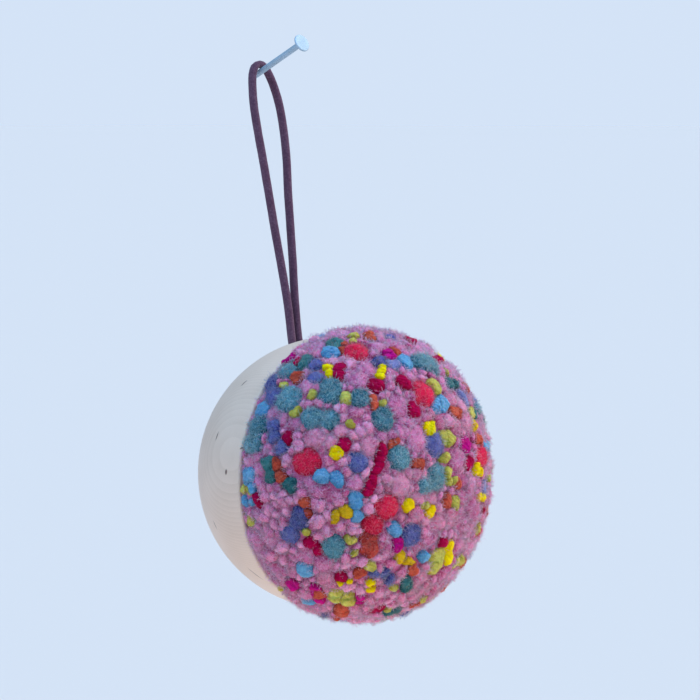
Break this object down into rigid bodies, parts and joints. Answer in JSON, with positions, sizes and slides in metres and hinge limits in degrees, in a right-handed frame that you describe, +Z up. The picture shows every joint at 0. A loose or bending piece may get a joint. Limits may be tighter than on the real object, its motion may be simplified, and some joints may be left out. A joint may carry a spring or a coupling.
{
  "type": "yarn pom pom in a wooden cup, hung by a loop from a nail",
  "caption": "Domed yarn pom pom seated in a turned wooden half-ball cup, which hangs by a suede loop from a flat-headed wall nail.",
  "frame": {"origin": "centre of the nail's cut end, where the nail enters the wall", "axes": "+Y into the wall, -Y the way the pom pom faces, +Z up, +X to the right as seen from the front"},
  "size_m": [0.087, 0.0735, 0.1719],
  "materials": {
    "wool_yarn": "clipped ends of thick and thin wool yarn, dusty pink with bright flecks",
    "pale_wood": "turned and sanded maple or birch, fine growth rings, matt oil",
    "suede_lace": "dark plum brown suede, matt",
    "galvanised_steel": "dull zinc"
  },
  "bodies": {
    "root": {"pom_pom": "wool_yarn", "wood_cup": "pale_wood", "hanging_loop": "suede_lace", "nail": "galvanised_steel"}
  },
  "joints": []
}
